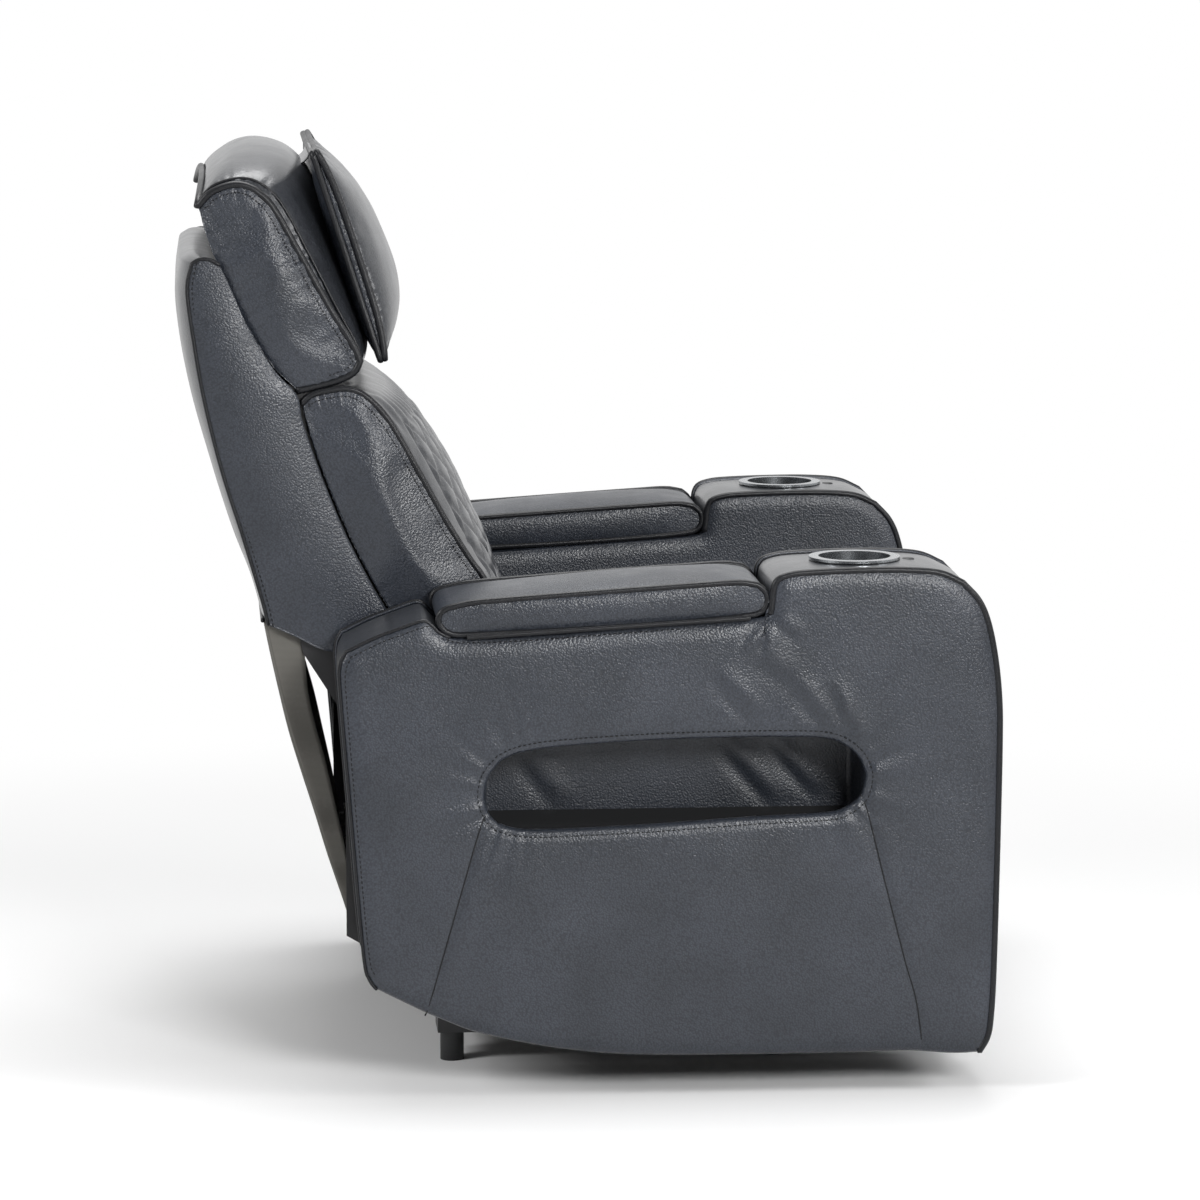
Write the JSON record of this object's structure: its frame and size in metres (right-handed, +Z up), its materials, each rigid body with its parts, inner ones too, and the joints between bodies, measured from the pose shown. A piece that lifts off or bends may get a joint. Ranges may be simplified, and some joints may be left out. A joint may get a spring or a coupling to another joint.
{
  "type": "power rocking recliner",
  "caption": "Upholstered rocking recliner with powered legrest, back and headrest, padded arms with lift-up lids over storage, cup holders and open side pockets.",
  "frame": {"origin": "centre of the bounding box, on the floor under the feet", "axes": "+X to the front of the chair, +Y to the sitter's left, +Z up"},
  "size_m": [0.9719, 0.966, 1.1147],
  "materials": {
    "upholstery": "satin",
    "flap_cloth": "matte",
    "liner_cloth": "matte",
    "webbing": "matte",
    "black_steel": "satin",
    "zinc_steel": "satin",
    "stainless": "polished",
    "black_plastic": "matte",
    "grey_plastic": "satin",
    "plywood": "matte"
  },
  "bodies": {
    "base": {"base_rails": "black_steel", "base_tubes": "black_steel", "base_feet": "black_plastic", "rocker_springs": "zinc_steel"},
    "seat_frame": {"rocker_cams": "black_plastic", "side_plates": "black_steel", "frame_tubes": "black_steel", "arm_bolts": "zinc_steel", "back_pins": "zinc_steel", "lid_hinges": "black_steel", "seat_deck": "plywood", "seat_straps": "webbing", "seat_cushion": "upholstery", "legrest_actuator": "grey_plastic", "recline_actuator": "grey_plastic", "power_inlet": "black_plastic", "rear_flap": "flap_cloth", "control_plate": "black_plastic", "arm_outer_panel_left": "upholstery", "arm_inner_panel_left": "upholstery", "arm_front_band_left": "upholstery", "arm_rear_band_left": "upholstery", "pocket_liner_left": "liner_cloth", "storage_bin_left": "black_plastic", "cup_holder_left": "stainless", "arm_outer_panel_right": "upholstery", "arm_inner_panel_right": "upholstery", "arm_front_band_right": "upholstery", "arm_rear_band_right": "upholstery", "pocket_liner_right": "liner_cloth", "storage_bin_right": "black_plastic", "cup_holder_right": "stainless"},
    "lid_left": {"lid_board_left": "plywood", "lid_pad_left": "upholstery"},
    "lid_right": {"lid_board_right": "plywood", "lid_pad_right": "upholstery"},
    "legrest_main": {"legrest_main_links": "black_steel", "legrest_torque_tube": "black_steel"},
    "legrest_cross": {"legrest_cross_links": "black_steel"},
    "legrest_tie": {"legrest_tie_links": "black_steel"},
    "legrest_front": {"legrest_front_links": "black_steel"},
    "footrest": {"footrest_board": "plywood", "footrest_pad": "upholstery", "footrest_brackets": "black_steel"},
    "legrest_drive": {"legrest_carriage": "grey_plastic"},
    "recline_drive": {"recline_carriage": "grey_plastic"},
    "backrest": {"back_frame": "black_steel", "back_shell": "upholstery", "lumbar_cushion": "upholstery", "recline_crank": "black_steel", "head_motor": "grey_plastic"},
    "headrest": {"head_cushion": "upholstery", "head_bracket": "black_steel"},
    "head_drive": {"head_push_rod": "zinc_steel"},
    "pillow": {"pillow": "upholstery"},
    "recline_switch": {"recline_switch": "black_plastic"},
    "head_switch": {"head_switch": "black_plastic"},
    "home_button": {"home_button": "black_plastic"}
  },
  "joints": [
    {"name": "rock", "type": "hinge", "parent": "base", "child": "seat_frame", "pos_m": [0.04, 0, 0.7], "axis": [0, 1, 0], "range_deg": [-10, 5], "stiffness_Nm_per_rad": 900, "deforming": ["rocker_springs"]},
    {"name": "recline", "type": "hinge", "parent": "seat_frame", "child": "backrest", "pos_m": [-0.235, 0, 0.415], "axis": [0, -1, 0], "range_deg": [0, 40], "deforming": ["rear_flap"]},
    {"name": "head_tilt", "type": "hinge", "parent": "backrest", "child": "headrest", "pos_m": [-0.29, 0, 0.832], "axis": [0, 1, 0], "range_deg": [0, 25]},
    {"name": "pillow_lift", "type": "hinge", "parent": "headrest", "child": "pillow", "pos_m": [-0.31849, 0, 1.11082], "axis": [0, -1, 0], "range_deg": [0, 60]},
    {"name": "lid_left_open", "type": "hinge", "parent": "seat_frame", "child": "lid_left", "pos_m": [-0.168, 0.48, 0.555], "axis": [-0.9983, 0, -0.0584], "range_deg": [0, 90]},
    {"name": "lid_right_open", "type": "hinge", "parent": "seat_frame", "child": "lid_right", "pos_m": [-0.168, -0.48, 0.555], "axis": [0.9983, 0, 0.0584], "range_deg": [0, 90]},
    {"name": "legrest", "type": "hinge", "parent": "seat_frame", "child": "legrest_main", "pos_m": [0.284, 0, 0.35], "axis": [0, -1, 0], "range_deg": [0, 53]},
    {"name": "legrest_cross_turn", "type": "hinge", "parent": "legrest_main", "child": "legrest_cross", "pos_m": [0.30791, 0, 0.23751], "axis": [0, -1, 0], "range_deg": [-106, 0]},
    {"name": "legrest_front_turn", "type": "hinge", "parent": "legrest_main", "child": "legrest_front", "pos_m": [0.33182, 0, 0.12503], "axis": [0, -1, 0], "range_deg": [-106, 0]},
    {"name": "legrest_tie_turn", "type": "hinge", "parent": "legrest_cross", "child": "legrest_tie", "pos_m": [0.33182, 0, 0.35], "axis": [0, -1, 0], "range_deg": [0, 106]},
    {"name": "footrest_turn", "type": "hinge", "parent": "legrest_front", "child": "footrest", "pos_m": [0.37964, 0, 0.35], "axis": [0, -1, 0], "range_deg": [0, 143]},
    {"name": "legrest_carriage_run", "type": "slide", "parent": "seat_frame", "child": "legrest_drive", "axis": [1, 0, 0], "range_m": [0, 0.09817]},
    {"name": "recline_carriage_run", "type": "slide", "parent": "seat_frame", "child": "recline_drive", "axis": [1, 0, 0], "range_m": [0, 0.08169]},
    {"name": "head_rod_run", "type": "slide", "parent": "backrest", "child": "head_drive", "axis": [0, 0, 1], "range_m": [0, 0.03381]},
    {"name": "recline_switch_rock", "type": "hinge", "parent": "seat_frame", "child": "recline_switch", "pos_m": [0.286, -0.2885, 0.56], "axis": [0, 0, 1], "range_deg": [-5, 5], "stiffness_Nm_per_rad": 0.6},
    {"name": "head_switch_rock", "type": "hinge", "parent": "seat_frame", "child": "head_switch", "pos_m": [0.33, -0.2885, 0.56], "axis": [0, 0, 1], "range_deg": [-5, 5], "stiffness_Nm_per_rad": 0.6},
    {"name": "home_press", "type": "slide", "parent": "seat_frame", "child": "home_button", "axis": [0, -1, 0], "range_m": [0, 0.0016], "stiffness_N_per_m": 900}
  ],
  "couplings": [
    {"joint": "legrest_cross_turn", "follows": "legrest", "ratio": -2},
    {"joint": "legrest_front_turn", "follows": "legrest", "ratio": -2},
    {"joint": "legrest_tie_turn", "follows": "legrest", "ratio": 2},
    {"joint": "footrest_turn", "follows": "legrest", "ratio": 2.6981},
    {"joint": "legrest_carriage_run", "follows": "legrest", "m_per_rad": 0.10612},
    {"joint": "recline_carriage_run", "follows": "recline", "m_per_rad": 0.11701},
    {"joint": "head_rod_run", "follows": "head_tilt", "m_per_rad": 0.077486}
  ]
}
